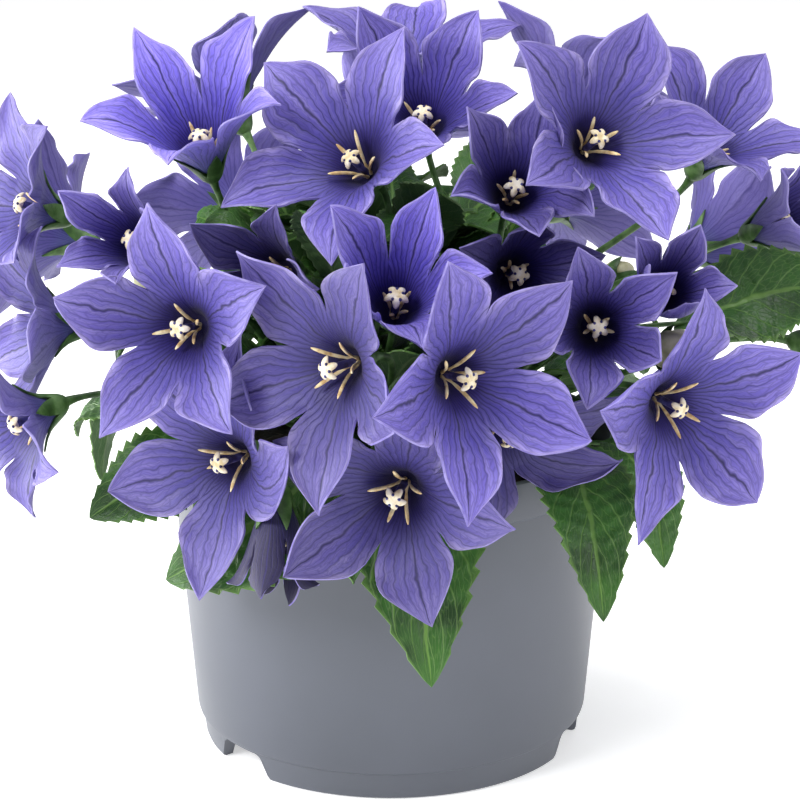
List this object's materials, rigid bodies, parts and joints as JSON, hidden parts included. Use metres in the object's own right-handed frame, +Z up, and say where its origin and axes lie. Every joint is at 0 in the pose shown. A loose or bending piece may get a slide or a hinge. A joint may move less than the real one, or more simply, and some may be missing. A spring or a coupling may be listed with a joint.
{
  "type": "potted balloon flower",
  "caption": "Balloon flower in a tapered grey nursery pot: star-shaped violet blooms in a rounded dome over leafy stems, standing in soil on a flat foot.",
  "frame": {"origin": "middle of the pot's foot, on the surface it stands on", "axes": "+Z up along the pot's axis, -Y towards the front of the picture, +X to its right"},
  "size_m": [0.2535, 0.2356, 0.2016],
  "materials": {
    "pot": "smooth moulded polypropylene, soft satin sheen",
    "soil": "damp dark peat soil, rough",
    "leaf": "living leaf, satin with pale veins",
    "petal": "soft violet petal with dark veins",
    "centre": "cream stamens and stigma, matt"
  },
  "bodies": {
    "root": {"bloom_18": "petal", "bloom_19": "petal", "bloom_20": "petal", "bloom_21": "petal", "bloom_22": "petal", "bloom_23": "petal", "bloom_24": "petal", "bloom_25": "petal", "bloom_26": "petal", "bloom_27": "petal", "bloom_28": "petal", "bloom_29": "petal", "bloom_30": "petal", "bloom_31": "petal", "bloom_32": "petal", "bloom_33": "petal", "bloom_34": "petal", "bloom_35": "petal", "centre_01": "centre", "centre_02": "centre", "centre_03": "centre", "centre_04": "centre", "centre_05": "centre", "centre_06": "centre", "centre_07": "centre", "centre_08": "centre", "centre_09": "centre", "centre_10": "centre", "centre_11": "centre", "centre_12": "centre", "centre_13": "centre", "centre_14": "centre", "centre_15": "centre", "centre_16": "centre", "centre_17": "centre", "corolla_01": "petal", "corolla_02": "petal", "corolla_03": "petal", "corolla_04": "petal", "corolla_05": "petal", "corolla_06": "petal", "corolla_07": "petal", "corolla_08": "petal", "corolla_09": "petal", "corolla_10": "petal", "corolla_11": "petal", "corolla_12": "petal", "corolla_13": "petal", "corolla_14": "petal", "corolla_15": "petal", "corolla_16": "petal", "corolla_17": "petal", "leafy_stem_1": "leaf", "leafy_stem_2": "leaf", "leafy_stem_3": "leaf", "leafy_stem_4": "leaf", "leafy_stem_5": "leaf", "leafy_stem_6": "leaf", "pot": "pot", "soil": "soil"}
  },
  "joints": []
}
